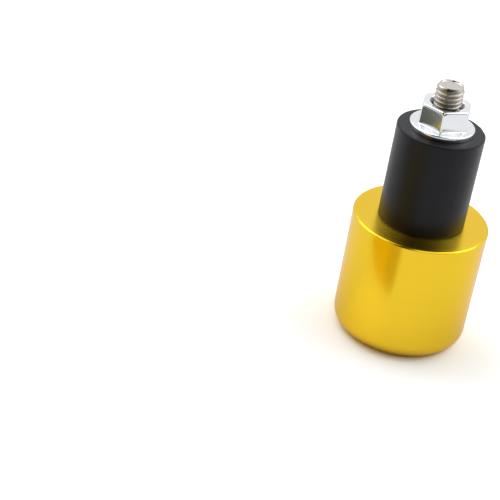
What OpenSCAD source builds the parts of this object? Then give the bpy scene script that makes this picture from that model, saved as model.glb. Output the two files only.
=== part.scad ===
// Bar end weight: a turned barrel that closes the end of a handlebar tube.
// A socket cap screw runs through the barrel and a rubber expansion sleeve into
// a flange nut. Turning the screw draws the nut in and swells the sleeve in the bar.
// The weight stands on the rim of its mouth, with the nut at the top. Millimetres.

/* [Barrel] */
// Outside diameter of the barrel
barrel_d = 30; // [28.5:0.5:38]
// Height from the mouth rim to the shoulder
barrel_len = 28.4; // [26:0.1:50]
// Radius of the rounding between the side and the mouth rim
mouth_fillet = 3.7; // [3:0.1:4.5]
// Chamfer round the edge of the shoulder
shoulder_chamfer = 0.3; // [0.1:0.05:0.8]

/* [Mouth] */
// Wall from the side of the barrel to the flat of the rim
lip_w = 2.9; // [2.4:0.1:3.2]
// Width of the flat of the rim, on which the weight stands
rim_land_w = 0.3; // [0.1:0.05:0.6]
// How far the dished face runs inwards
dish_run = 1.35; // [0.8:0.05:1.7]
// Depth of the dished face below the rim
dish_depth = 3.7; // [2.5:0.1:5]
// Depth of the annular groove below the rim
groove_depth = 8.5; // [6:0.1:14]
// Radius in the corners of the groove
groove_corner = 0.4; // [0.2:0.05:0.45]
// Depth of the hub's rim below the mouth rim
hub_depth = 1.1; // [0.6:0.1:2]
// Width of the hub's flat rim round the counterbore
hub_rim_w = 0.6; // [0.3:0.05:0.9]
// How far the hub's cone runs outwards
hub_cone_run = 1.75; // [1.2:0.05:1.9]
// Depth of the foot of the hub's cone below the mouth rim
hub_cone_depth = 3.4; // [2.6:0.1:4.5]
// Width of the step round the foot of the cone
hub_step_w = 0.9; // [0.5:0.05:1]
// Fall of that step towards the groove
hub_step_fall = 0.25; // [0.1:0.05:0.6]

/* [Cap screw] */
// Thread diameter
thread_d = 6; // [5:0.5:6.5]
// Head diameter
head_d = 10; // [9.6:0.1:10.5]
// Head height
head_h = 6; // [5:0.1:7]
// How deep the head lies below the mouth rim
head_sink = 4.25; // [3:0.05:6]
// Chamfer round the top of the head
head_chamfer = 0.5; // [0.2:0.05:1]
// Fillet under the head
neck_fillet = 0.25; // [0.1:0.05:0.3]
// Width of the hexagon socket across its flats
socket_af = 5; // [4:0.5:5.5]
// Depth of the hexagon socket
socket_depth = 3; // [2:0.1:3.5]
// How far the screw stands out of the nut
screw_stand = 4.15; // [2:0.05:12]
// Length of the chamfered point of the thread
point_len = 0.75; // [0.3:0.05:1.2]
// How far the point's flat end lies inside the thread, all round
point_w = 0.4; // [0.2:0.05:0.7]
// Width of the flat ring round the dish in the point's end
point_ring_w = 0.2; // [0.1:0.05:0.4]
// Depth of that dish, which rolling the thread leaves
point_dish = 0.3; // [0.1:0.05:0.5]
// How far the dish's wall runs inwards
point_dish_run = 0.15; // [0.05:0.05:0.3]

/* [Rubber sleeve] */
// Outside diameter of the sleeve
sleeve_d = 19; // [17:0.1:22]
// Length of the sleeve, relaxed
sleeve_len = 21.7; // [15:0.1:30]
// Radius round the sleeve's edges
sleeve_edge = 0.4; // [0.2:0.05:0.8]

/* [Flange nut] */
// Width of the hexagon across its flats
nut_af = 10; // [9.5:0.1:11]
// Height of the whole nut
nut_h = 6; // [5:0.1:7]
// Diameter of the flange
flange_d = 14; // [13.4:0.1:15]
// Thickness of the flange at its edge
flange_edge = 1.1; // [0.8:0.05:1.4]
// Angle of the flange's cone above the seat, in degrees
flange_angle = 15; // [5:1:30]
// Radius round the top of the flange's edge
flange_round = 0.3; // [0.1:0.05:0.4]
// How far the top chamfer cuts in from the hexagon's corners
nut_chamfer_w = 0.5; // [0.3:0.05:0.75]
// Angle of that chamfer below the nut's top face, in degrees
nut_chamfer_angle = 55; // [30:1:65]
// Chamfer along the top edges of the hexagon's flats
nut_edge = 0.4; // [0.1:0.05:0.5]
// Depth of the countersink at each end of the nut's thread
nut_csk = 0.6; // [0.3:0.05:0.8]

/* [Clearances] */
// Gap between the screw head and the counterbore, all round
head_gap = 0.25; // [0.15:0.05:0.4]
// Gap between the screw and the holes that it passes through, all round
hole_gap = 0.3; // [0.25:0.05:0.5]
// Running gap between the screw and the nut's thread, all round
thread_gap = 0.05; // [0.02:0.01:0.08]

/* [Hidden] */
$fn = 96;
eps = 1;
gold = [0.85, 0.67, 0.15];
nickel = [0.70, 0.67, 0.62];
black = [0.14, 0.14, 0.15];
zinc = [0.85, 0.87, 0.90];

barrel_r = barrel_d / 2;
rim_r = barrel_r - lip_w;
dish_top_r = rim_r - rim_land_w;
dish_foot_r = dish_top_r - dish_run;
// The rounding meets the rim's flat at the rim's radius
fillet_x = barrel_r - mouth_fillet;
fillet_z = sqrt(pow(mouth_fillet, 2) - pow(max(0, rim_r - fillet_x), 2));

thread_r = thread_d / 2;
head_r = head_d / 2;
hole_r = thread_r + hole_gap;
counterbore_r = head_r + head_gap;
seat_z = head_sink + head_h;
hub_rim_r = counterbore_r + hub_rim_w;
hub_cone_r = hub_rim_r + hub_cone_run;
hub_r = hub_cone_r + hub_step_w;

shoulder_z = barrel_len;
sleeve_r = sleeve_d / 2;
nut_z = shoulder_z + sleeve_len;
point_r = thread_r - point_w;
dish_r = point_r - point_ring_w;
tip_z = nut_z + nut_h + screw_stand;
socket_cone_h = socket_af / 2 * tan(30);

flange_r = flange_d / 2;
nut_bore_r = thread_r + thread_gap;
nut_corner_r = nut_af / 2 / cos(30);
flange_top_z = flange_edge + flange_r * tan(flange_angle);
nut_top_r = nut_corner_r - nut_chamfer_w;
nut_chamfer_h = nut_chamfer_w * tan(nut_chamfer_angle);

// Rectangle from (x0, z0) to (x1, z1) in a turned profile
module band(x0, x1, z0, z1) {
    translate([x0, z0])
        square([x1 - x0, z1 - z0]);
}

// Rectangle whose four corners are rounded
module round_band(x0, x1, z0, z1, r) {
    band(x0 + r, x1 - r, z0, z1);
    band(x0, x1, z0 + r, z1 - r);
    for (x = [x0 + r, x1 - r], z = [z0 + r, z1 - r])
        translate([x, z])
            circle(r);
}

// Chamfer cut round the end of a hole, widening outwards from z0 to z1
module hole_chamfer(r, w, z0, z1) {
    translate([0, 0, min(z0, z1)])
        cylinder(h = abs(z1 - z0), r1 = z1 > z0 ? r : r + w, r2 = z1 > z0 ? r + w : r);
}

// Outer profile of the barrel: straight side, rounded mouth end, chamfered shoulder
module barrel_outline() {
    intersection() {
        union() {
            band(0, barrel_r, fillet_z, shoulder_z);
            band(0, fillet_x, 0, fillet_z);
            translate([fillet_x, fillet_z])
                circle(mouth_fillet);
        }
        polygon([
            [0, 0], [barrel_r + eps, 0],
            [barrel_r + eps, shoulder_z - shoulder_chamfer - eps],
            [barrel_r - shoulder_chamfer, shoulder_z],
            [0, shoulder_z]
        ]);
    }
}

// What is cut out of the mouth: the dish, down to the hub's cone and its step
module mouth_cut() {
    dish_slope = dish_run / dish_depth;
    polygon([
        [0, -eps], [dish_top_r + dish_slope * eps, -eps],
        [dish_foot_r, dish_depth],
        [hub_r, hub_cone_depth + hub_step_fall],
        [hub_cone_r, hub_cone_depth],
        [hub_rim_r, hub_depth],
        [0, hub_depth]
    ]);
}

// The annular groove between the hub and the dish, with a rounded floor
module groove_cut() {
    groove_top_z = min(dish_depth, hub_cone_depth);
    band(hub_r, dish_foot_r, groove_top_z, groove_depth - groove_corner);
    round_band(hub_r, dish_foot_r, groove_top_z, groove_depth, groove_corner);
}

module barrel() {
    color(gold)
        difference() {
            rotate_extrude()
                difference() {
                    barrel_outline();
                    mouth_cut();
                    groove_cut();
                }
            cylinder(h = seat_z, r = counterbore_r);
            translate([0, 0, -eps])
                cylinder(h = shoulder_z + 2 * eps, r = hole_r);
            hole_chamfer(hole_r, neck_fillet, seat_z + neck_fillet, seat_z);
            hole_chamfer(hole_r, neck_fillet, shoulder_z - neck_fillet, shoulder_z);
        }
}

// Head, neck, shank and dished point of the screw, turned about its axis
module screw_profile() {
    difference() {
        union() {
            polygon([
                [0, head_sink], [head_r - head_chamfer, head_sink],
                [head_r, head_sink + head_chamfer],
                [head_r, seat_z], [0, seat_z]
            ]);
            polygon([
                [0, seat_z], [thread_r, seat_z],
                [thread_r, tip_z - point_len],
                [point_r, tip_z], [dish_r, tip_z],
                [dish_r - point_dish_run, tip_z - point_dish], [0, tip_z - point_dish]
            ]);
            band(thread_r, thread_r + neck_fillet, seat_z, seat_z + neck_fillet);
        }
        translate([thread_r + neck_fillet, seat_z + neck_fillet])
            circle(neck_fillet);
    }
}

module cap_screw() {
    color(nickel)
        difference() {
            rotate_extrude()
                screw_profile();
            translate([0, 0, head_sink - eps])
                cylinder(h = socket_depth + eps, r = socket_af / 2 / cos(30), $fn = 6);
            translate([0, 0, head_sink + socket_depth])
                cylinder(h = socket_cone_h, r1 = socket_af / 2, r2 = 0);
        }
}

module rubber_sleeve() {
    color(black)
        rotate_extrude()
            round_band(hole_r, sleeve_r, shoulder_z, nut_z, sleeve_edge);
}

// The flange's profile: flat seat, short upright edge, rounding, then the cone
module flange_profile() {
    round_x = flange_r - flange_round;
    round_z = flange_edge + flange_round * (tan(flange_angle) - 1 / cos(flange_angle));
    polygon([
        [0, 0], [flange_r, 0], [flange_r, round_z], [round_x, round_z],
        [round_x + flange_round * sin(flange_angle), round_z + flange_round * cos(flange_angle)],
        [0, flange_top_z]
    ]);
    translate([round_x, round_z])
        circle(flange_round);
}

// Slab between two opposite flats of the hexagon, with its top edges chamfered
module nut_slab() {
    half_w = nut_af / 2;
    rotate([90, 0, 0])
        linear_extrude(height = 2 * nut_af, center = true)
            polygon([
                [-half_w, 0], [half_w, 0],
                [half_w, nut_h - nut_edge], [half_w - nut_edge, nut_h],
                [nut_edge - half_w, nut_h], [-half_w, nut_h - nut_edge]
            ]);
}

// Three slabs make the hexagon, and a steep cone takes its top corners off
module nut_hexagon() {
    intersection() {
        nut_slab();
        rotate([0, 0, 60])
            nut_slab();
        rotate([0, 0, 120])
            nut_slab();
        rotate_extrude()
            polygon([
                [0, 0], [nut_corner_r + eps, 0],
                [nut_corner_r + eps, nut_h - nut_chamfer_h - eps * tan(nut_chamfer_angle)],
                [nut_top_r, nut_h], [0, nut_h]
            ]);
    }
}

module flange_nut() {
    color(zinc)
        translate([0, 0, nut_z])
            difference() {
                union() {
                    rotate_extrude()
                        flange_profile();
                    nut_hexagon();
                }
                translate([0, 0, -eps])
                    cylinder(h = nut_h + 2 * eps, r = nut_bore_r);
                hole_chamfer(nut_bore_r, nut_csk, nut_csk, 0);
                hole_chamfer(nut_bore_r, nut_csk, nut_h - nut_csk, nut_h);
            }
}

barrel();
cap_screw();
rubber_sleeve();
flange_nut();
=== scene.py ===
"""Looks of a bar end weight: a turned barrel, a socket cap screw, a rubber sleeve and a flange nut.

Every piece is modelled in metres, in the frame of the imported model, and stands for one of its
nodes. The weight stands on the rim of its mouth, with its axis on Z and the nut at the top.
"""

import math

import bmesh
import bpy
from bpy.props import FloatProperty, FloatVectorProperty, IntProperty, PointerProperty
from bpy.types import Operator, Panel, PropertyGroup
from mathutils import Matrix, Vector


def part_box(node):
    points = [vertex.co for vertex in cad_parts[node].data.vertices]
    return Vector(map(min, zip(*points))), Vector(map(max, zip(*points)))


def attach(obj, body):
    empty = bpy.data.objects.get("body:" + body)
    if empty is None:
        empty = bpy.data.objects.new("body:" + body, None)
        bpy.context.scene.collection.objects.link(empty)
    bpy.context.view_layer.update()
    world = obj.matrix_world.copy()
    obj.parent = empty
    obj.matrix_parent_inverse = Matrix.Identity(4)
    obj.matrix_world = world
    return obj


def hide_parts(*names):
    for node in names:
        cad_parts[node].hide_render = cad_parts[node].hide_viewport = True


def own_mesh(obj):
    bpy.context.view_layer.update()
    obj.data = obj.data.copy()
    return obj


bl_info = {
    "name": "Bar End Weight",
    "version": (1, 0, 0),
    "blender": (4, 5, 0),
    "location": "View3D > Sidebar > Bar End",
    "description": "Builds a turned bar end weight with its screw, rubber sleeve and flange nut",
    "category": "Add Mesh",
}

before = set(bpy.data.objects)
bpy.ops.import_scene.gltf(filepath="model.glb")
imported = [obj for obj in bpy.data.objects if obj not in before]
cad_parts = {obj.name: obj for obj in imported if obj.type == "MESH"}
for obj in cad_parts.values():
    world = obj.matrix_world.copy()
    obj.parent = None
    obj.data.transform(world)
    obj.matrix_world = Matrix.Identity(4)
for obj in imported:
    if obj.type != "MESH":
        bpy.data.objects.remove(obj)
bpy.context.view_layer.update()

MM = 0.001
TINY = 1e-7
WELD = 1e-6
PHOTO_SIZE = 500
SENSOR = 36.0
SHARP_ANGLE = math.radians(38)
SIXTH = math.pi / 3
QUARTER = math.pi / 2


# Properties

def size(name, description, millimetres):
    """A length, with its default in millimetres."""
    return FloatProperty(
        name=name, description=description, default=millimetres * MM,
        min=0.0, unit="LENGTH", precision=5,
    )


def turn_angle(name, description, degrees):
    """An angle, with its default in degrees."""
    return FloatProperty(
        name=name, description=description, default=math.radians(degrees), subtype="ANGLE",
    )


def share(name, description, default):
    """A number from 0 to 1."""
    return FloatProperty(
        name=name, description=description, default=default, min=0.0, max=1.0, subtype="FACTOR",
    )


def strength(name, description, default):
    """A plain number that is not negative."""
    return FloatProperty(name=name, description=description, default=default, min=0.0)


def count(name, description, default):
    """A whole number of steps."""
    return IntProperty(name=name, description=description, default=default, min=3)


def spot(name, description, millimetres):
    """A place, with its default in millimetres."""
    return FloatVectorProperty(
        name=name, description=description, default=[part * MM for part in millimetres], size=3,
        subtype="TRANSLATION", unit="LENGTH", precision=5,
    )


def colour(name, description, default):
    """A linear colour."""
    return FloatVectorProperty(
        name=name, description=description, default=default, size=3, min=0.0, max=1.0,
        subtype="COLOR",
    )


class BarrelSettings(PropertyGroup):
    """Sizes of the turned barrel, whose radius and length come from the frame"""

    steps: count("Steps", "Faces round the barrel", 256)
    shoulder_chamfer: size("Shoulder chamfer", "Chamfer round the shoulder", 0.3)
    mouth_fillet: size("Mouth fillet", "Radius between the side and the rim of the mouth", 3.7)
    lip: size("Lip", "Wall from the side to the flat of the rim", 2.9)
    rim_land: size("Rim land", "Width of the flat of the rim", 0.3)
    dish_run: size("Dish run", "How far the dished face runs inwards", 1.35)
    dish_depth: size("Dish depth", "Depth of the dished face", 3.7)
    groove_depth: size("Groove depth", "Depth of the annular groove below the rim", 8.5)
    groove_corner: size("Groove corner", "Radius in the corners of the groove", 0.4)
    hub_radius: size("Hub radius", "Radius of the hub in the groove", 8.5)
    hub_step_depth: size("Hub step depth", "Depth of the hub's outer edge", 3.65)
    cone_radius: size("Cone radius", "Radius at the foot of the hub's cone", 7.6)
    cone_depth: size("Cone depth", "Depth of the foot of the hub's cone", 3.4)
    hub_rim_radius: size("Hub rim radius", "Outer radius of the hub's flat rim", 5.85)
    hub_depth: size("Hub depth", "Depth of the hub's rim below the mouth rim", 1.1)
    counterbore_radius: size("Counterbore radius", "Radius of the counterbore", 5.25)
    seat_depth: size("Seat depth", "Depth of the seat of the screw's head", 10.25)
    hole_radius: size("Hole radius", "Radius of the hole through the barrel", 3.3)
    hole_chamfer: size("Hole chamfer", "Chamfer at both ends of the hole", 0.25)
    edge_break: size("Edge break", "Rounding of the turned edges", 0.05)


class ScrewSettings(PropertyGroup):
    """Sizes of the cap screw, whose head and tip come from the frame"""

    steps: count("Steps", "Faces round the screw", 120)
    radius: size("Radius", "Outer radius of the thread", 3.0)
    pitch: size("Pitch", "Pitch of the thread", 1.0)
    depth: size("Depth", "Depth of the thread", 0.46)
    crest: size("Crest", "Width of the crest", 0.3)
    crest_round: size("Crest rounding", "Rounding of the crest's edges", 0.149)
    root_round: size("Root rounding", "Rounding of the thread's root", 0.084)
    crest_drop: size("Crest drop", "From the flat end down to the crest at +X", 0.15)
    length: size("Thread length", "Length of the threaded end", 24.0)
    point_length: size("Point length", "Length of the chamfered point", 0.75)
    point_inset: size("Point inset", "How far the flat end lies inside the thread", 0.4)
    end_groove: size("End groove", "Depth of the thread where it runs out at the flat end", 0.06)
    dish_radius: size("Dish radius", "Radius of the dish that rolling leaves in the end", 2.4)
    dish_depth: size("Dish depth", "Depth of that dish", 0.3)
    dish_wall: size("Dish wall", "How far the dish's wall runs inwards", 0.15)
    head_height: size("Head height", "Height of the head", 6.0)
    head_chamfer: size("Head chamfer", "Chamfer round the top of the head", 0.5)
    neck_fillet: size("Neck fillet", "Fillet under the head", 0.25)
    socket_width: size("Socket width", "Width of the socket across its flats", 5.0)
    socket_depth: size("Socket depth", "Depth of the socket", 3.0)
    socket_break: size("Socket break", "Chamfer round the socket", 0.15)


class SleeveSettings(PropertyGroup):
    """Sizes of the rubber sleeve, whose radius and length come from the frame"""

    steps: count("Steps", "Faces round the sleeve", 240)
    rows: count("Rows", "Faces along the sleeve", 60)
    hole_radius: size("Hole radius", "Radius of the hole for the screw", 3.3)
    edge: size("Edge", "Rounding of the sleeve's edges", 0.35)
    flash: size("Flash", "How far the moulding flash stands up at the parting line", 0.12)
    flash_width: turn_angle("Flash width", "Half the width of the flash", 5)
    parting: turn_angle("Parting", "Azimuth of the parting line, from +X", 20)


class NutSettings(PropertyGroup):
    """Sizes of the flange nut, whose height and flange come from the frame"""

    steps: count("Steps", "Faces round the nut", 240)
    width: size("Width", "Width of the hexagon across its flats", 10.0)
    corner_round: size("Corner rounding", "Rounding of the hexagon's upright edges", 0.3)
    edge_round: size("Edge rounding", "Rounding along the top of the flats", 0.42)
    chamfer_inset: size("Chamfer inset", "How far the corner chamfer cuts in", 0.5)
    chamfer_angle: turn_angle("Chamfer angle", "Angle of the corner chamfer", 55)
    foot_fillet: size("Foot fillet", "Fillet between the flats and the flange", 0.25)
    flange_edge: size("Flange edge", "Height of the flange's edge", 1.1)
    flange_angle: turn_angle("Flange angle", "Slope of the flange's cone", 15)
    flange_round: size("Flange rounding", "Rounding of the top of the flange's edge", 0.3)
    seat_break: size("Seat break", "Chamfer round the seat", 0.1)
    bore_radius: size("Bore radius", "Radius of the bore", 3.05)
    countersink: size("Countersink", "Depth of the countersinks", 0.7)
    blend: size("Blend", "Softening where the corner chamfer meets the flats", 0.1)
    ring_step: size("Ring step", "Drop from ring to ring down the chamfered corners", 0.07)
    cone_end: size("Cone end", "Width of the last ring of the flange's cone", 0.2)


class FinishSettings(PropertyGroup):
    """Colours and roughness of the finishes"""

    gold: colour("Gold", "Gold anodised aluminium", (0.86, 0.58, 0.031))
    gold_edge: colour("Gold edge", "Tint of the gold at grazing angles", (0.87, 0.80, 0.85))
    gold_roughness: share("Gold roughness", "Roughness of the turned side", 0.2)
    face_roughness: share("Face roughness", "Roughness of the faced shoulder", 0.26)
    face_stretch: share("Face stretch", "How far its rings stretch reflections", 0.78)
    line_spacing: size("Line spacing", "Spacing of the tool's lines in the gold", 0.11)
    gold_line: size("Gold line", "Depth of the lines on the turned side", 0.0009)
    face_line: size("Face line", "Depth of the lines on the faced shoulder", 0.0001)
    bare: colour("Bare", "Bare turned aluminium", (0.80, 0.80, 0.79))
    bare_roughness: share("Bare roughness", "Roughness of the bare aluminium", 0.16)
    bare_spacing: size("Bare spacing", "Spacing of the tool's lines in the bare aluminium", 0.12)
    bare_line: size("Bare line", "Depth of the lines in the bare aluminium", 0.002)
    nickel: colour("Nickel", "Nickel plating", (0.57, 0.54, 0.50))
    nickel_roughness: share("Nickel roughness", "Roughness of the nickel", 0.17)
    nickel_grain: size("Nickel grain", "Size of the nickel's grain", 0.3)
    # Grime and painted shade: the darker colour of the thread's roots, and of its crests further
    # from the end, where it dims their highlights.
    grime_and_shade: colour("Grime and shade", "Film on the thread", (0.35, 0.33, 0.29))
    grime_roughness: share("Grime roughness", "Roughness of the film on the thread", 0.3)
    # Where and how much of the grime and painted shade the crests get.
    grime_and_shade_run: size("Grime run", "How far from the end the crests have their full film", 3.2)
    grime_and_shade_on_crests: share("Grime on crests", "How much of the film lies on the crests there", 0.7)
    zinc: colour("Zinc", "Bright zinc plating", (0.84, 0.86, 0.885))
    # Painted shade: the dark colour of the nut's bore and countersinks, where shade falls.
    painted_countersink_shade: colour("Painted countersink shade", "Dark film in the nut's countersinks", (0.12, 0.125, 0.13))
    zinc_roughness: share("Zinc roughness", "Roughness of the zinc", 0.09)
    zinc_cloud: share("Zinc cloud", "Brightness of the darker clouds in the zinc", 0.85)
    zinc_grain: size("Zinc grain", "Size of the zinc's grain", 0.45)
    zinc_pits: size("Zinc pits", "Depth of the zinc's grain", 0.009)
    rubber: colour("Rubber", "Black moulded rubber", (0.0062, 0.0062, 0.0085))
    rubber_sheen: colour("Rubber sheen", "Tint of the rubber's faint gloss", (0.93, 0.93, 1.0))
    rubber_roughness: share("Rubber roughness", "Roughness of the rubber", 0.36)
    rubber_gloss: share("Rubber gloss", "Specular level of the rubber", 0.22)
    rubber_grain: size("Rubber grain", "Size of the rubber's grain", 0.2)
    rubber_pits: size("Rubber pits", "Depth of the rubber's grain", 0.01)


class StageSettings(PropertyGroup):
    """Camera, floor, light and glowing cards seen only in reflections"""

    focal_pixels: strength("Focal length", "Focal length in pixels of the 500 pixel frame", 1400.0)
    elevation: turn_angle("Elevation", "How far the camera looks down on the shoulder", 27.865)
    roll: turn_angle("Roll", "How far the axis leans to the right in the frame", 12.925)
    distance: size("Distance", "From the camera to the middle of the shoulder", 308.858)
    aim_u: strength("Aim across", "Pixel column of the middle of the shoulder", 421.083)
    aim_v: strength("Aim down", "Pixel row of the middle of the shoulder", 216.994)
    floor_radius: size("Floor radius", "Radius of the round floor", 6000.0)
    floor_colour: colour("Floor colour", "Colour of the floor", (0.82, 0.82, 0.82))
    floor_seen: colour("Floor seen", "The same to the camera, before the gain", (0.94, 0.965, 1.0))
    floor_gain: strength("Floor gain", "How much paler the floor is to the camera", 1.29)
    far_gain: strength("Far gain", "The same, where the lamps no longer reach the floor", 2.2)
    far_start: size("Far floor, start", "Distance where the far gain starts", 250.0)
    far_end: size("Far floor, end", "Distance where the far gain is full", 900.0)
    pool: colour("Pool", "Extra light of a pool in the floor's reflection", (0.15, 0.125, 0.03))
    pool_x: size("Pool, left", "How far left of the axis the pool lies", 22.0)
    pool_y: size("Pool, front", "How far in front of the axis the pool lies", 23.0)
    pool_inner: size("Pool, inner", "Radius where the pool starts to fade", 5.0)
    pool_outer: size("Pool, outer", "Radius where the pool has faded out", 22.0)
    fill: share("Fill", "Strength of the tent on dull surfaces", 0.95)
    opening_low: turn_angle("Opening, low", "Lower edge of the dark opening at the front", 5)
    opening_high: turn_angle("Opening, high", "Upper edge of the dark opening at the front", 43)
    opening_half: turn_angle("Opening, half width", "Where it has faded out to each side", 90)
    opening_soft: turn_angle("Opening, soft edge", "Width of its upper and lower edges", 6)
    slit_right: share("Slit, right", "Sine of how far right of overhead the slit lies", 0.07)
    slit_lean: share("Slit, lean", "How far it moves left for each step to the front", 0.53)
    slit_inner: turn_angle("Slit, inner", "Half width of the slit", 8)
    slit_outer: turn_angle("Slit, outer", "Where the slit has faded out to each side", 17)
    slit_end: turn_angle("Slit, end", "How far behind overhead the slit ends", 20)
    crown_low: turn_angle("Crown, low", "Where the tent starts to darken towards the top", 64)
    crown_high: turn_angle("Crown, high", "Where the tent is darkest", 80)
    crown: share("Crown", "Brightness of the tent overhead", 0.55)
    lamp_width: size("Lamp width", "Width of the square lamps at the left and right", 420.0)
    lamp_distance: size("Lamp distance", "From the middle of the floor to the lamps", 490.0)
    lamp_elevation: turn_angle("Lamp elevation", "How high the lamps stand", 51.5)
    lamp_back: turn_angle("Lamp back", "How far the lamps stand behind the object's sides", 25)
    lamp_power: strength("Lamp power", "Power of each lamp in watts", 0.75)
    # Glowing cards, seen only in reflections, that paint warm, olive and dark streaks in the metal.
    warm_start: spot("Warm card, start", "Left end of the low warm card", (-45.0, -33.8, 15.3))
    warm_end: spot("Warm card, end", "Its right end", (-20.1, -41.4, 15.9))
    shade_end: spot("Shade card, end", "Right end of the shade card", (-13.0, -43.6, 16.1))
    dark_end: spot("Dark card, end", "Left end of the dark card", (-76.0, -36.0, 18.0))
    tall_low: spot("Tall card, low", "Foot of the upright warm card", (-41.0, -49.0, 50.0))
    tall_mid: spot("Tall card, middle", "Where the olive card starts on it", (-41.0, -49.0, 80.0))
    tall_high: spot("Tall card, high", "Top of the olive card", (-41.0, -49.0, 100.0))
    low_radius: size("Low card radius", "Radius of the warm card and the shade card", 15.0)
    tall_radius: size("Tall card radius", "Radius of both upright cards", 12.0)
    dark_radius: size("Dark card radius", "Radius of the dark card", 10.5)
    warm: colour("Warm", "Colour of the low warm card", (0.87, 0.64, 0.0))
    shade: colour("Shade", "Colour of the shade card", (0.70, 0.56, 0.12))
    tall_warm: colour("Tall warm", "Colour of the upright warm card", (0.95, 0.62, 0.06))
    olive: colour("Olive", "Colour of the olive card", (0.20, 0.17, 0.06))
    dark: colour("Dark", "Colour of the dark card", (0.10, 0.105, 0.085))


class BarEndSettings(PropertyGroup):
    """All settings of the weight"""

    barrel: PointerProperty(type=BarrelSettings)
    screw: PointerProperty(type=ScrewSettings)
    sleeve: PointerProperty(type=SleeveSettings)
    nut: PointerProperty(type=NutSettings)
    finish: PointerProperty(type=FinishSettings)
    stage: PointerProperty(type=StageSettings)


# Mesh tools

def arc(centre, radius, start, end, steps):
    """Points along an arc, as (distance from the axis, height). An angle of 0 points outwards."""
    angles = [start + (end - start) * step / steps for step in range(steps + 1)]
    return [(centre[0] + radius * math.cos(a), centre[1] + radius * math.sin(a)) for a in angles]


def draw(bm, corners, segments=4):
    """Draws an outline in the XZ plane. A corner is (x, z) or (x, z, setback of its rounding)."""
    verts = [bm.verts.new((corner[0], 0.0, corner[1])) for corner in corners]
    for start, end in zip(verts, verts[1:]):
        bm.edges.new((start, end))
    for vert, corner in zip(verts, corners):
        if len(corner) == 3:
            bmesh.ops.bevel(
                bm, geom=[vert], offset=corner[2], offset_type="OFFSET", segments=segments,
                profile=0.5, affect="VERTICES", clamp_overlap=True, material=-1,
            )


def support(bm, setback):
    """Puts a point near both ends of every long stretch of an outline, for even shading."""
    for edge in list(bm.edges):
        length = edge.calc_length()
        if length > 4 * setback:
            start, end = edge.verts
            bmesh.utils.edge_split(edge, start, setback / length)
            bmesh.utils.edge_split(edge, end, setback / (length - setback))


def turn(bm, steps):
    """Turns the drawn outline once round Z."""
    bmesh.ops.spin(
        bm, geom=bm.verts[:] + bm.edges[:], cent=(0.0, 0.0, 0.0), axis=(0.0, 0.0, 1.0),
        dvec=(0.0, 0.0, 0.0), angle=2 * math.pi, steps=steps, use_merge=True, use_duplicate=False,
    )


def azimuth(vert):
    """Angle of a vertex round Z, from +X."""
    return math.atan2(vert.co.y, vert.co.x)


def place(vert, radius, height):
    """Puts a vertex at a radius and a height, which may be functions of its azimuth."""
    angle = azimuth(vert)
    reach = radius(angle) if callable(radius) else radius
    rise = height(angle) if callable(height) else height
    vert.co = (reach * math.cos(angle), reach * math.sin(angle), rise)


def ring(bm, edges, radius, height):
    """Extrudes a loop of edges to a new radius and height and returns the new loop."""
    grown = bmesh.ops.extrude_edge_only(bm, edges=edges)["geom"]
    for part in grown:
        if isinstance(part, bmesh.types.BMVert):
            place(part, radius, height)
    return [part for part in grown if isinstance(part, bmesh.types.BMEdge)]


def rings(bm, edges, points):
    """Extrudes a loop of edges through a list of (radius, height)."""
    for radius, height in points:
        edges = ring(bm, edges, radius, height)
    return edges


def smooth_min(a, b, blend):
    """The smaller of two lengths, with their meeting rounded over."""
    overlap = max(blend - abs(a - b), 0.0) / blend
    return min(a, b) - overlap * overlap * blend / 4


def hexagon(angle, half_width, rounding):
    """Distance from the axis to a hexagon with rounded corners, one of whose flats faces +X."""
    off = abs((angle + SIXTH / 2) % SIXTH - SIXTH / 2)
    flat_end = (half_width - rounding) * math.tan(SIXTH / 2)
    if half_width * math.tan(off) <= flat_end:
        return half_width / math.cos(off)
    centre = (half_width - rounding) / math.cos(SIXTH / 2)
    across = centre * math.sin(SIXTH / 2 - off)
    return centre * math.cos(SIXTH / 2 - off) + math.sqrt(rounding ** 2 - across ** 2)


def make_piece(name, bm, materials, node, body):
    """Makes a smooth-shaded piece that stands for a node of the frame and rides on its body."""
    bmesh.ops.remove_doubles(bm, verts=bm.verts, dist=WELD)
    bmesh.ops.recalc_face_normals(bm, faces=bm.faces)
    mesh = bpy.data.meshes.new(name)
    bm.to_mesh(mesh)
    bm.free()
    for material in materials:
        mesh.materials.append(material)
    mesh.shade_smooth()
    mesh.set_sharp_from_angle(angle=SHARP_ANGLE)
    piece = bpy.data.objects.new(name, mesh)
    bpy.context.scene.collection.objects.link(piece)
    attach(piece, body)
    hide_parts(node)
    return piece


# Materials

def add_node(tree, kind, settings=None, values=None, links=None):
    """Adds a shader node with its settings, socket values and incoming links."""
    node = tree.nodes.new(kind)
    for key, value in (settings or {}).items():
        setattr(node, key, value)
    for key, value in (values or {}).items():
        node.inputs[key].default_value = value
    for key, source in (links or {}).items():
        tree.links.new(source, node.inputs[key])
    return node


def calc(tree, operation, *terms):
    """Adds a Math node. Each term is a number or a socket."""
    node = tree.nodes.new("ShaderNodeMath")
    node.operation = operation
    for socket, term in zip(node.inputs, terms):
        if isinstance(term, (int, float)):
            socket.default_value = term
        else:
            tree.links.new(term, socket)
    return node.outputs[0]


def ramp(tree, value, start, end, low=0.0, high=1.0, ease="LINEAR"):
    """Maps start to end onto low to high, and holds what lies beyond."""
    return add_node(
        tree, "ShaderNodeMapRange", settings={"interpolation_type": ease},
        values={"From Min": start, "From Max": end, "To Min": low, "To Max": high},
        links={"Value": value},
    ).outputs["Result"]


def spread(tree, mask, low, high):
    """Maps a mask from 0 to 1 onto low to high."""
    return ramp(tree, mask, 0.0, 1.0, low, high)


def scaled(factor, base):
    """A colour times a factor."""
    return tuple(factor * part for part in base)


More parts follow.
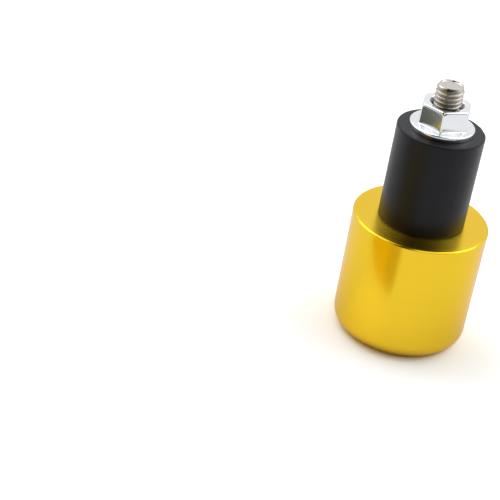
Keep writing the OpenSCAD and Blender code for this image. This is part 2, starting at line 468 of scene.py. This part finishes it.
def mix_colour(tree, mask, low, high):
    """Mixes two linear colours by a mask."""
    node = add_node(tree, "ShaderNodeMix", settings={"data_type": "RGBA"}, links={"Factor": mask})
    for socket, value in zip((node.inputs[6], node.inputs[7]), (low, high)):
        if isinstance(value, bpy.types.NodeSocket):
            tree.links.new(value, socket)
        else:
            socket.default_value = (*value, 1.0)
    return node.outputs[2]


def new_group(name, inputs, outputs):
    """Makes a node group with named number inputs and outputs, or returns the one there is."""
    if name in bpy.data.node_groups:
        return bpy.data.node_groups[name], None, None
    tree = bpy.data.node_groups.new(name, "ShaderNodeTree")
    for socket in inputs:
        tree.interface.new_socket(name=socket, in_out="INPUT", socket_type="NodeSocketFloat")
    for socket in outputs:
        tree.interface.new_socket(name=socket, in_out="OUTPUT", socket_type="NodeSocketFloat")
    return tree, tree.nodes.new("NodeGroupInput"), tree.nodes.new("NodeGroupOutput")


def reach_group():
    """Distance of a point from the Z axis, less an inset, and its height."""
    tree, start, end = new_group("Reach", ["Inset"], ["Reach", "Height"])
    if start is None:
        return tree
    where = add_node(tree, "ShaderNodeTexCoord").outputs["Object"]
    parts = add_node(tree, "ShaderNodeSeparateXYZ", links={"Vector": where}).outputs
    square = calc(
        tree, "ADD", calc(tree, "MULTIPLY", parts["X"], parts["X"]),
        calc(tree, "MULTIPLY", parts["Y"], parts["Y"]),
    )
    reach = calc(tree, "SUBTRACT", calc(tree, "SQRT", square), start.outputs["Inset"])
    tree.links.new(reach, end.inputs["Reach"])
    tree.links.new(parts["Z"], end.inputs["Height"])
    return tree


def turning_group():
    """Lines that a tool leaves round a turned piece: they follow its radius and its height."""
    tree, start, end = new_group("Turning lines", ["Spacing"], ["Lines", "Bands"])
    if start is None:
        return tree
    where = use_group(tree, reach_group(), 0.0)
    travel = calc(tree, "ADD", where["Reach"], where["Height"])
    path = calc(tree, "DIVIDE", travel, start.outputs["Spacing"])
    for output, scale, detail, roughness in (("Lines", 1.0, 2.0, 0.6), ("Bands", 0.06, 3.0, 0.5)):
        noise = add_node(
            tree, "ShaderNodeTexNoise", settings={"noise_dimensions": "1D"},
            values={"Scale": scale, "Detail": detail, "Roughness": roughness}, links={"W": path},
        )
        tree.links.new(noise.outputs[0], end.inputs[output])
    return tree


def grain_group():
    """Cloudy and fine grain of a moulded or forged surface."""
    tree, start, end = new_group("Grain", ["Grain size"], ["Fine", "Cloud"])
    if start is None:
        return tree
    where = add_node(tree, "ShaderNodeTexCoord").outputs["Object"]
    scale = calc(tree, "DIVIDE", 1.0, start.outputs["Grain size"])
    broad = calc(tree, "MULTIPLY", scale, 0.12)
    for output, density, detail, rough in (("Fine", scale, 4.0, 0.55), ("Cloud", broad, 2.0, 0.5)):
        noise = add_node(
            tree, "ShaderNodeTexNoise", values={"Detail": detail, "Roughness": rough},
            links={"Vector": where, "Scale": density},
        )
        tree.links.new(noise.outputs[0], end.inputs[output])
    return tree


def new_material(name, **values):
    """Makes a material with a Principled BSDF and returns it, its tree and the shader."""
    material = bpy.data.materials.new(name)
    material.use_nodes = True
    tree = material.node_tree
    shader = tree.nodes["Principled BSDF"]
    for key, value in values.items():
        shader.inputs[key.replace("_", " ")].default_value = value
    return material, tree, shader


def use_group(tree, group, value):
    """Places a node group with its one input set."""
    node = add_node(tree, "ShaderNodeGroup", settings={"node_tree": group})
    node.inputs[0].default_value = value
    return node.outputs


def paint(tree, shader, mask, low, high):
    """Mixes two colours by a mask into the base colour."""
    tree.links.new(mix_colour(tree, mask, low, high), shader.inputs["Base Color"])


def roughen(tree, shader, mask, roughness, low, high):
    """Lets the roughness vary with a mask, from low to high times its value."""
    varied = spread(tree, mask, low * roughness, high * roughness)
    tree.links.new(varied, shader.inputs["Roughness"])


def emboss(tree, shader, height, depth):
    """Lets a pattern of a given depth tilt the normals."""
    values = {"Strength": 1.0, "Distance": depth}
    bump = add_node(tree, "ShaderNodeBump", values=values, links={"Height": height})
    tree.links.new(bump.outputs[0], shader.inputs["Normal"])


def turned_metal(name, base, edge_tint, roughness, spacing, depth, stretch=0.0):
    """Metal with the fine lines of a lathe tool, which may stretch its reflections across them."""
    material, tree, shader = new_material(name, Metallic=1.0)
    shader.inputs["Specular Tint"].default_value = (*edge_tint, 1.0)
    if stretch:
        round_z = {"direction_type": "RADIAL", "axis": "Z"}
        along = add_node(tree, "ShaderNodeTangent", settings=round_z)
        tree.links.new(along.outputs["Tangent"], shader.inputs["Tangent"])
        shader.inputs["Anisotropic"].default_value = stretch
        shader.inputs["Anisotropic Rotation"].default_value = 0.25
    marks = use_group(tree, turning_group(), spacing)
    paint(tree, shader, marks["Bands"], scaled(0.95, base), base)
    roughen(tree, shader, marks["Bands"], roughness, 0.8, 1.2)
    emboss(tree, shader, marks["Lines"], depth)
    return material


def zinc_material(finish, nut):
    """Bright zinc: a little cloudy, with fine pits and painted shade, a dark colour, in the bore
    and most of its countersinks.
    """
    material, tree, shader = new_material("Bright zinc", Metallic=1.0)
    grain = use_group(tree, grain_group(), finish.zinc_grain)
    reach = use_group(tree, reach_group(), nut.bore_radius)["Reach"]
    # Mask of the painted shade: 0 in the bore and most of each countersink, 1 beyond.
    unshaded = ramp(tree, reach, 0.75 * nut.countersink, nut.countersink)
    plating = mix_colour(tree, grain["Cloud"], scaled(finish.zinc_cloud, finish.zinc), finish.zinc)
    paint(tree, shader, unshaded, finish.painted_countersink_shade, plating)
    roughen(tree, shader, grain["Fine"], finish.zinc_roughness, 0.7, 1.5)
    emboss(tree, shader, grain["Fine"], finish.zinc_pits)
    return material


def nickel_material(finish, screw, tip):
    """Nickel plating. The point is bare, the roots have a darker, rougher colour, part grime and
    part painted shade, and the crests get it too as they lie further from the end, which dims their
    highlights."""
    material, tree, shader = new_material("Nickel plate", Metallic=1.0)
    grain = use_group(tree, grain_group(), finish.nickel_grain)
    where = use_group(tree, reach_group(), screw.radius - 0.5 * screw.depth)
    # 0 in the roots, which get the grime and painted shade, 1 on the crests.
    crest = ramp(tree, where["Reach"], 0.0, 0.45 * screw.depth)
    foot = tip - screw.point_length
    end = ramp(tree, where["Height"], foot, tip - screw.point_length / 2)
    # Crests further from the end get the grime and painted shade too, which dims their highlights.
    crest_unshaded = ramp(tree, where["Height"], tip - finish.grime_and_shade_run, foot, low=1.0 - finish.grime_and_shade_on_crests)
    unshaded = calc(tree, "MAXIMUM", calc(tree, "MULTIPLY", crest, crest_unshaded), end)
    paint(tree, shader, unshaded, finish.grime_and_shade, finish.nickel)
    polish = spread(tree, unshaded, finish.grime_roughness, finish.nickel_roughness)
    uneven = spread(tree, grain["Fine"], 0.8, 1.4)
    tree.links.new(calc(tree, "MULTIPLY", polish, uneven), shader.inputs["Roughness"])
    return material


def rubber_material(finish):
    """Black moulded rubber, matte with a fine grain."""
    material, tree, shader = new_material("Black rubber")
    shader.inputs["Specular IOR Level"].default_value = finish.rubber_gloss
    shader.inputs["Specular Tint"].default_value = (*finish.rubber_sheen, 1.0)
    grain = use_group(tree, grain_group(), finish.rubber_grain)
    paint(tree, shader, grain["Cloud"], finish.rubber, scaled(1.6, finish.rubber))
    roughen(tree, shader, grain["Fine"], finish.rubber_roughness, 0.85, 1.15)
    emboss(tree, shader, grain["Fine"], finish.rubber_pits)
    return material


# Pieces

class BAREND_OT_add_barrel(Operator):
    """Turns the barrel: shoulder, side, rounded mouth, dish, groove, hub and counterbore"""

    bl_idname = "barend.add_barrel"
    bl_label = "Barrel"

    def outline(self, s, radius, shoulder):
        """Corners of the section: up the hole, over the shoulder, down the side, into the mouth."""
        edge = s.edge_break
        rim_radius = radius - s.lip
        fillet_x = radius - s.mouth_fillet
        fillet_z = math.sqrt(s.mouth_fillet ** 2 - (rim_radius - fillet_x) ** 2)
        fillet_end = math.atan2(-fillet_z, rim_radius - fillet_x)
        dish_top = rim_radius - s.rim_land
        dish_foot = dish_top - s.dish_run
        return [
            (s.counterbore_radius, s.seat_depth, edge),
            (s.hole_radius + s.hole_chamfer, s.seat_depth),
            (s.hole_radius, s.seat_depth + s.hole_chamfer),
            (s.hole_radius, shoulder - s.hole_chamfer),
            (s.hole_radius + s.hole_chamfer, shoulder),
            (radius - s.shoulder_chamfer, shoulder, edge),
            (radius, shoulder - s.shoulder_chamfer, edge),
            *arc((fillet_x, fillet_z), s.mouth_fillet, 0.0, fillet_end, 28),
            (dish_top, 0.0, edge),
            (dish_foot, s.dish_depth, edge),
            (dish_foot, s.groove_depth, s.groove_corner),
            (s.hub_radius, s.groove_depth, s.groove_corner),
            (s.hub_radius, s.hub_step_depth, edge),
            (s.cone_radius, s.cone_depth, edge),
            (s.hub_rim_radius, s.hub_depth, edge),
            (s.counterbore_radius, s.hub_depth, edge),
            (s.counterbore_radius, s.seat_depth - edge),
        ]

    def execute(self, context):
        s = context.scene.bar_end.barrel
        finish = context.scene.bar_end.finish
        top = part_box("barrel")[1]
        bm = bmesh.new()
        draw(bm, self.outline(s, top.x, top.z))
        support(bm, s.edge_break)
        turn(bm, s.steps)
        for face in bm.faces:
            middle = face.calc_center_median()
            if middle.xy.length < s.cone_radius and middle.z < s.seat_depth:
                face.material_index = 1
            elif middle.z > top.z - s.shoulder_chamfer / 3:
                face.material_index = 2
        gold = finish.gold
        edge = finish.gold_edge
        materials = [
            turned_metal(
                "Gold anodised", gold, edge, finish.gold_roughness, finish.line_spacing,
                finish.gold_line,
            ),
            turned_metal(
                "Bare aluminium", finish.bare, (1.0, 1.0, 1.0), finish.bare_roughness,
                finish.bare_spacing, finish.bare_line,
            ),
            turned_metal(
                "Gold anodised face", gold, edge, finish.face_roughness, finish.line_spacing,
                finish.face_line, stretch=finish.face_stretch,
            ),
        ]
        make_piece("turned_barrel", bm, materials, "barrel", "weight")
        return {"FINISHED"}


class BAREND_OT_add_screw(Operator):
    """Rolls the thread of the cap screw and adds its shank, head and socket"""

    bl_idname = "barend.add_screw"
    bl_label = "Cap screw"

    def thread(self, bm, s, tip):
        """Spins the profile once round with a rise of one pitch, and cuts both ends square."""
        root = s.radius - s.depth
        flank = s.depth * math.tan(SIXTH / 2)
        turns = round(s.length / s.pitch) + 4
        start = tip + 2 * s.pitch - s.crest_drop - turns * s.pitch
        corners = []
        for step in range(turns):
            z = start + step * s.pitch
            corners += [
                (root, z - s.crest / 2 - flank, s.root_round),
                (s.radius, z - s.crest / 2, s.crest_round),
                (s.radius, z + s.crest / 2, s.crest_round),
                (root, z + s.crest / 2 + flank, s.root_round),
            ]
        draw(bm, corners, segments=3)
        bmesh.ops.spin(
            bm, geom=bm.verts[:] + bm.edges[:], cent=(0.0, 0.0, 0.0), axis=(0.0, 0.0, 1.0),
            dvec=(0.0, 0.0, s.pitch / s.steps), angle=2 * math.pi, steps=s.steps,
            use_merge=False, use_duplicate=False,
        )
        bmesh.ops.remove_doubles(bm, verts=bm.verts, dist=WELD)
        for height, outer, inner in ((tip, True, False), (tip - s.length, False, True)):
            bmesh.ops.bisect_plane(
                bm, geom=bm.verts[:] + bm.edges[:] + bm.faces[:], dist=TINY,
                plane_co=(0.0, 0.0, height), plane_no=(0.0, 0.0, 1.0),
                clear_outer=outer, clear_inner=inner,
            )

    def point(self, bm, s, tip):
        """Chamfers the thread's end and lets the groove run out at the flat end."""
        for vert in bm.verts:
            below = tip - vert.co.z
            reach = vert.co.xy.length
            chamfer = s.radius - s.point_inset * max(0.0, 1 - below / s.point_length)
            runout = s.radius - s.point_inset - s.end_groove - s.depth * below / s.point_length
            limited = max(min(reach, chamfer), runout)
            vert.co.x *= limited / reach
            vert.co.y *= limited / reach

    def loop(self, bm, height):
        """The open edges at a height."""
        return [
            edge for edge in bm.edges
            if edge.is_boundary and all(abs(vert.co.z - height) < WELD for vert in edge.verts)
        ]

    def execute(self, context):
        s = context.scene.bar_end.screw
        finish = context.scene.bar_end.finish
        low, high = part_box("cap_screw")
        head_radius = high.x
        seat = low.z + s.head_height
        bm = bmesh.new()
        self.thread(bm, s, high.z)
        self.point(bm, s, high.z)
        floor = high.z - s.dish_depth
        rings(bm, self.loop(bm, high.z), [
            (s.dish_radius, high.z), (s.dish_radius - s.dish_wall / 5, high.z - s.dish_depth / 8),
            (s.dish_radius - s.dish_wall, floor + s.dish_depth / 8),
            (s.dish_radius - 1.4 * s.dish_wall, floor), (s.dish_radius / 2, floor), (0.0, floor),
        ])
        fillet, chamfer, edge = s.neck_fillet, s.head_chamfer, s.socket_break
        neck = arc((s.radius + fillet, seat + fillet), fillet, math.pi, 1.5 * math.pi, 4)
        rim = arc((head_radius - chamfer, low.z + chamfer), chamfer, 0.0, -QUARTER, 6)
        underside = arc((head_radius - edge, seat - edge), edge, QUARTER, 0.0, 3)

        def socket(rounding, extra):
            half_width = s.socket_width / 2 + extra
            return lambda angle: hexagon(angle + SIXTH / 2, half_width, rounding)

        bottom = low.z + s.socket_depth
        head_rings = [
            (s.radius, high.z - s.length - s.pitch),
            *neck, *underside, *rim,
            (socket(s.crest_round, s.socket_break), low.z),
            (socket(s.crest_round, 0.0), low.z + s.socket_break),
            (socket(s.crest_round, 0.0), bottom),
            (s.socket_width / 2, bottom),
            (0.0, bottom + s.socket_width / 2 * math.tan(SIXTH / 2)),
        ]
        rings(bm, self.loop(bm, high.z - s.length), head_rings)
        nickel = nickel_material(finish, s, high.z)
        make_piece("socket_cap_screw", bm, [nickel], "cap_screw", "bolt")
        return {"FINISHED"}


class BAREND_OT_add_sleeve(Operator):
    """Moulds the rubber sleeve, with its rounded edges and the flash at its parting line"""

    bl_idname = "barend.add_sleeve"
    bl_label = "Rubber sleeve"

    def execute(self, context):
        s = context.scene.bar_end.sleeve
        finish = context.scene.bar_end.finish
        low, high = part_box("rubber_sleeve")
        radius = high.x
        bm = bmesh.new()
        draw(bm, [
            (s.hole_radius, (low.z + high.z) / 2),
            (s.hole_radius, low.z),
            (radius, low.z, s.edge),
            (radius, high.z, s.edge),
            (s.hole_radius, high.z),
            (s.hole_radius, (low.z + high.z) / 2),
        ])
        support(bm, s.edge / 3)
        tall = [edge for edge in bm.edges if edge.calc_length() > high.z - low.z - 3 * s.edge]
        bmesh.ops.subdivide_edges(bm, edges=tall, cuts=s.rows)
        turn(bm, s.steps)
        self.flash(bm, s, radius, high.z)
        rubber = rubber_material(finish)
        piece = make_piece(
            "expander_sleeve", bm, [rubber], "rubber_sleeve", "weight",
        )
        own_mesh(piece)
        return {"FINISHED"}

    def flash(self, bm, s, radius, top):
        """Raises the top edge a little on both sides of the parting line."""
        for vert in bm.verts:
            near_edge = max(0.0, 1 - abs(vert.co.xy.length - radius + s.edge / 2) / (2 * s.edge))
            near_top = max(0.0, 1 - (top - vert.co.z) / (4 * s.edge))
            off = (azimuth(vert) - s.parting + QUARTER) % math.pi - QUARTER
            rise = s.flash * near_edge * near_top * math.exp(-(off / s.flash_width) ** 2)
            vert.co.x -= rise * math.cos(azimuth(vert))
            vert.co.y -= rise * math.sin(azimuth(vert))


class BAREND_OT_add_nut(Operator):
    """Forges the flange nut: bore, hexagon with chamfered corners, fillet and conical flange"""

    bl_idname = "barend.add_nut"
    bl_label = "Flange nut"

    def hexagon_rings(self, s, top):
        """Rings over the top edges and down the flats, each cut by the corner chamfer."""
        half_width = s.width / 2
        chamfer_radius = half_width / math.cos(SIXTH / 2) - s.chamfer_inset
        slope = math.tan(s.chamfer_angle)

        def cut(inset, drop):
            cone = chamfer_radius + drop / slope
            return lambda angle: smooth_min(
                hexagon(angle, half_width - inset, s.corner_round), cone, s.blend,
            )

        points = [(cut(1.4 * s.edge_round, 0.0), top)]
        for inset, drop in arc((s.edge_round, s.edge_round), s.edge_round, -QUARTER, -math.pi, 5):
            points.append((cut(inset, drop), top - drop))
        for step in range(1, 8):
            drop = s.edge_round + step * s.ring_step
            points.append((cut(0.0, drop), top - drop))
        return points

    def foot_rings(self, s, bottom):
        """Rings round the fillet between the flats and the flange's cone."""
        tilt = s.flange_angle
        flange_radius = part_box("flange_nut")[1].x

        def cone(radius):
            return bottom + s.flange_edge + (flange_radius - radius) * math.tan(tilt)

        def side(angle):
            return hexagon(angle, s.width / 2, s.corner_round)

        def centre_height(angle):
            return cone(side(angle) + s.foot_fillet) + s.foot_fillet / math.cos(tilt)

        points = [(side, lambda angle: centre_height(angle) + s.foot_fillet / 3)]
        fillet = arc((s.foot_fillet, 0.0), s.foot_fillet, math.pi, 1.5 * math.pi - tilt, 4)
        for reach, rise in fillet:
            points.append((
                lambda angle, reach=reach: side(angle) + reach,
                lambda angle, rise=rise: centre_height(angle) + rise,
            ))
        points.append((
            lambda angle: side(angle) + 1.3 * s.foot_fillet,
            lambda angle: cone(side(angle) + 1.3 * s.foot_fillet),
        ))
        outer = flange_radius - s.flange_round
        points.append((outer - s.cone_end, cone(outer - s.cone_end)))
        edge_centre = (outer, cone(outer) - s.flange_round / math.cos(tilt))
        points += arc(edge_centre, s.flange_round, QUARTER - tilt, 0.0, 5)
        points += [
            (flange_radius, bottom + 2 * s.seat_break),
            (flange_radius, bottom + s.seat_break),
            (flange_radius - s.seat_break, bottom),
            (flange_radius - 2 * s.seat_break, bottom),
        ]
        return points

    def execute(self, context):
        s = context.scene.bar_end.nut
        finish = context.scene.bar_end.finish
        low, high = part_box("flange_nut")
        mouth = s.bore_radius + s.countersink
        bm = bmesh.new()
        bmesh.ops.create_circle(bm, cap_ends=False, radius=mouth, segments=s.steps)
        bmesh.ops.translate(bm, verts=bm.verts, vec=(0.0, 0.0, low.z))
        rings(bm, bm.edges[:], [
            (s.bore_radius, low.z + s.countersink),
            (s.bore_radius, high.z - s.countersink),
            (mouth, high.z),
            (1.02 * mouth, high.z),
            *self.hexagon_rings(s, high.z),
            *self.foot_rings(s, low.z),
            (1.02 * mouth, low.z),
            (mouth, low.z),
        ])
        zinc = zinc_material(finish, s)
        make_piece("hex_flange_nut", bm, [zinc], "flange_nut", "nut")
        return {"FINISHED"}


class BAREND_OT_add_stage(Operator):
    """Sets up the camera, the white surround, the floor, the lamps and the glowing cards that only
    reflections show
    """

    bl_idname = "barend.add_stage"
    bl_label = "Stage"

    def camera(self, scene, s):
        """Looks from the front, with the shoulder's middle at its pixel."""
        target = Vector((0.0, 0.0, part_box("barrel")[1].z))
        half = PHOTO_SIZE / 2
        ray = Vector(((s.aim_u - half) / s.focal_pixels, (s.aim_v - half) / s.focal_pixels, 1.0))
        ray.normalize()
        up = Vector((0.0, -1.0, 0.0))
        up = (up - up.dot(ray) * ray).normalized()
        right = up.cross(ray)
        if right.x < 0:
            right.negate()
        leaning = math.cos(s.roll) * up + math.sin(s.roll) * right
        axis_z = math.cos(s.elevation) * leaning - math.sin(s.elevation) * ray
        axis_y = (ray - ray.dot(axis_z) * axis_z).normalized()
        axis_x = axis_y.cross(axis_z)
        view = Matrix((axis_x, axis_y, axis_z))
        pose = Matrix((view @ Vector((1.0, 0.0, 0.0)), view @ Vector((0.0, -1.0, 0.0)),
                       view @ Vector((0.0, 0.0, -1.0)))).transposed()
        data = bpy.data.cameras.new("camera")
        data.sensor_width = SENSOR
        data.lens = SENSOR * s.focal_pixels / PHOTO_SIZE
        data.clip_start = 0.01
        data.clip_end = 100.0
        camera = bpy.data.objects.new("camera", data)
        camera.matrix_world = Matrix.Translation(target - view @ ray * s.distance) @ pose.to_4x4()
        scene.collection.objects.link(camera)
        scene.camera = camera

    def surround(self, scene, s):
        """White to the eye. Metal sees a white tent, dark at its opening, and dull surfaces see a
        glow that comes from above."""
        world = bpy.data.worlds.new("White tent")
        world.use_nodes = True
        tree = world.node_tree
        path = add_node(tree, "ShaderNodeLightPath").outputs
        eye = calc(tree, "MAXIMUM", path["Is Camera Ray"], path["Is Transmission Ray"])
        where = add_node(tree, "ShaderNodeTexCoord").outputs["Generated"]
        parts = add_node(tree, "ShaderNodeSeparateXYZ", links={"Vector": where}).outputs
        soft = calc(tree, "MULTIPLY", calc(tree, "MAXIMUM", parts["Z"], 0.0), 1.5 * s.fill)
        level = calc(tree, "MAXIMUM", path["Is Glossy Ray"], soft)
        tent = calc(tree, "MULTIPLY", self.tent(tree, parts, s), level)
        background = tree.nodes["Background"]
        background.inputs["Color"].default_value = (1.0, 1.0, 1.0, 1.0)
        tree.links.new(calc(tree, "MAXIMUM", eye, tent), background.inputs["Strength"])
        scene.world = world

    def tent(self, tree, parts, s):
        """1 on the tent's wall, 0 in the opening at the front and in the slit above it."""

        def step(value, start, end):
            return ramp(tree, value, math.sin(start), math.sin(end), ease="SMOOTHSTEP")

        def edge(value, angle):
            return step(value, angle - s.opening_soft / 2, angle + s.opening_soft / 2)

        aside = calc(tree, "ABSOLUTE", parts["X"])
        middle = calc(tree, "MULTIPLY_ADD", parts["Y"], s.slit_lean, s.slit_right)
        off_slit = calc(tree, "ABSOLUTE", calc(tree, "SUBTRACT", parts["X"], middle))
        off = calc(tree, "ARCTAN2", aside, calc(tree, "MULTIPLY", parts["Y"], -1.0))
        beside = calc(tree, "MINIMUM", calc(tree, "DIVIDE", off, s.opening_half), 1.0)
        eased = calc(tree, "MULTIPLY", beside, beside)
        above = edge(parts["Z"], s.opening_high)
        below = calc(tree, "SUBTRACT", 1.0, edge(parts["Z"], s.opening_low))
        round_opening = calc(tree, "MAXIMUM", eased, calc(tree, "MAXIMUM", above, below))
        past_slit = calc(tree, "MAXIMUM", below, edge(parts["Y"], s.slit_end))
        beside_slit = step(off_slit, s.slit_inner, s.slit_outer)
        round_slit = calc(tree, "MAXIMUM", beside_slit, past_slit)
        dimmed = spread(tree, step(parts["Z"], s.crown_low, s.crown_high), 1.0, s.crown)
        return calc(tree, "MINIMUM", calc(tree, "MINIMUM", round_opening, round_slit), dimmed)

    def floor(self, scene, s):
        """A round floor that keeps the shadow and can't be seen from below. The camera sees it
        paler than light does, and metal sees a painted pool of warm light on it."""
        material = bpy.data.materials.new("Floor")
        material.use_nodes = True
        tree = material.node_tree
        tree.nodes.clear()
        path = add_node(tree, "ShaderNodeLightPath").outputs
        where = add_node(tree, "ShaderNodeTexCoord").outputs["Object"]
        away = add_node(
            tree, "ShaderNodeVectorMath", settings={"operation": "DISTANCE"},
            values={1: (-s.pool_x, -s.pool_y, 0.0)}, links={0: where},
        ).outputs["Value"]
        faded = ramp(tree, away, s.pool_inner, s.pool_outer, ease="SMOOTHSTEP")
        far = ramp(tree, away, s.far_start, s.far_end, ease="SMOOTHSTEP")
        # Painted pool of warm light, seen only by glossy rays.
        lit = tuple(1.0 + part for part in s.pool)
        pool = mix_colour(tree, faded, lit, (1.0, 1.0, 1.0))
        mirrored = mix_colour(tree, path["Is Glossy Ray"], s.floor_colour, pool)
        near_seen = scaled(s.floor_gain, s.floor_seen)
        seen = mix_colour(tree, far, near_seen, scaled(s.far_gain, s.floor_seen))
        tint = mix_colour(tree, path["Is Camera Ray"], mirrored, seen)
        pale = add_node(tree, "ShaderNodeBsdfDiffuse", links={"Color": tint})
        clear = add_node(tree, "ShaderNodeBsdfTransparent")
        below = add_node(tree, "ShaderNodeNewGeometry").outputs["Backfacing"]
        mix = add_node(tree, "ShaderNodeMixShader", links={"Fac": below})
        tree.links.new(pale.outputs[0], mix.inputs[1])
        tree.links.new(clear.outputs[0], mix.inputs[2])
        output = add_node(tree, "ShaderNodeOutputMaterial")
        tree.links.new(mix.outputs[0], output.inputs["Surface"])
        bm = bmesh.new()
        bmesh.ops.create_circle(bm, cap_ends=True, radius=s.floor_radius, segments=96)
        self.add_mesh(scene, "floor", bm, material)

    def add_mesh(self, scene, name, bm, material):
        """Adds a stage object from a bmesh."""
        mesh = bpy.data.meshes.new(name)
        bm.to_mesh(mesh)
        bm.free()
        mesh.materials.append(material)
        stage_object = bpy.data.objects.new(name, mesh)
        scene.collection.objects.link(stage_object)
        return stage_object

    def card(self, scene, name, start, end, radius, shade):
        """A card bent round a line that glows evenly and is seen only in reflections, as a painted
        reflection.
        """
        material = bpy.data.materials.new(name)
        material.use_nodes = True
        tree = material.node_tree
        tree.nodes.clear()
        glow = add_node(tree, "ShaderNodeEmission", values={"Color": (*shade, 1.0)})
        output = add_node(tree, "ShaderNodeOutputMaterial")
        tree.links.new(glow.outputs[0], output.inputs["Surface"])
        along = (end - start).normalized()
        aside = along.orthogonal().normalized()
        bm = bmesh.new()
        verts = [bm.verts.new(point + aside * radius) for point in (start, end)]
        edge = bm.edges.new(verts)
        bmesh.ops.spin(
            bm, geom=[*verts, edge], cent=start, axis=along, dvec=(0.0, 0.0, 0.0),
            angle=2 * math.pi, steps=48, use_merge=False, use_duplicate=False,
        )
        card = self.add_mesh(scene, name, bm, material)
        for kind in ("camera", "diffuse", "transmission", "volume_scatter", "shadow"):
            setattr(card, "visible_" + kind, False)

    def cards(self, scene, s):
        """Warm, olive and dark glowing cards at the front left, whose painted reflections make the
        streaks in the metal.
        """
        for name, start, end, radius, shade in (
            ("warm_card", s.warm_start, s.warm_end, s.low_radius, s.warm),
            ("shade_card", s.warm_end, s.shade_end, s.low_radius, s.shade),
            ("tall_warm_card", s.tall_low, s.tall_mid, s.tall_radius, s.tall_warm),
            ("olive_card", s.tall_mid, s.tall_high, s.tall_radius, s.olive),
            ("dark_card", s.warm_start, s.dark_end, s.dark_radius, s.dark),
        ):
            self.card(scene, name, Vector(start), Vector(end), radius, shade)

    def lamps(self, scene, s):
        """A broad soft lamp high on each side."""
        for name, side in (("left_lamp", -1), ("right_lamp", 1)):
            data = bpy.data.lights.new(name, "AREA")
            data.size = s.lamp_width
            data.energy = s.lamp_power
            lamp = bpy.data.objects.new(name, data)
            reach = math.cos(s.lamp_elevation)
            towards = Vector((
                side * reach * math.cos(s.lamp_back), reach * math.sin(s.lamp_back),
                math.sin(s.lamp_elevation),
            ))
            lamp.location = towards * s.lamp_distance
            lamp.rotation_euler = towards.to_track_quat("Z", "Y").to_euler()
            lamp.visible_camera = False
            scene.collection.objects.link(lamp)

    def execute(self, context):
        scene = context.scene
        s = scene.bar_end.stage
        scene.view_settings.view_transform = "Standard"
        self.camera(scene, s)
        self.surround(scene, s)
        self.floor(scene, s)
        self.lamps(scene, s)
        self.cards(scene, s)
        return {"FINISHED"}


class BAREND_PT_panel(Panel):
    """Lists the pieces of the weight and the stage"""

    bl_label = "Bar End Weight"
    bl_idname = "BAREND_PT_panel"
    bl_space_type = "VIEW_3D"
    bl_region_type = "UI"
    bl_category = "Bar End"

    def draw(self, context):
        for operator in OPERATORS:
            self.layout.operator(operator.bl_idname)
        for group in context.scene.bar_end.bl_rna.properties:
            if group.type == "POINTER" and group.identifier != "rna_type":
                box = self.layout.box()
                box.label(text=group.name)
                settings = getattr(context.scene.bar_end, group.identifier)
                for key in settings.__annotations__:
                    box.prop(settings, key)


OPERATORS = (
    BAREND_OT_add_barrel,
    BAREND_OT_add_screw,
    BAREND_OT_add_sleeve,
    BAREND_OT_add_nut,
    BAREND_OT_add_stage,
)
CLASSES = (
    BarrelSettings, ScrewSettings, SleeveSettings, NutSettings, FinishSettings, StageSettings,
    BarEndSettings, *OPERATORS, BAREND_PT_panel,
)


def register():
    for cls in CLASSES:
        bpy.utils.register_class(cls)
    bpy.types.Scene.bar_end = PointerProperty(type=BarEndSettings)


def unregister():
    del bpy.types.Scene.bar_end
    for cls in reversed(CLASSES):
        bpy.utils.unregister_class(cls)


def main():
    """Builds every piece and the stage."""
    register()
    bpy.ops.barend.add_barrel()
    bpy.ops.barend.add_screw()
    bpy.ops.barend.add_sleeve()
    bpy.ops.barend.add_nut()
    bpy.ops.barend.add_stage()


if __name__ == "__main__":
    main()
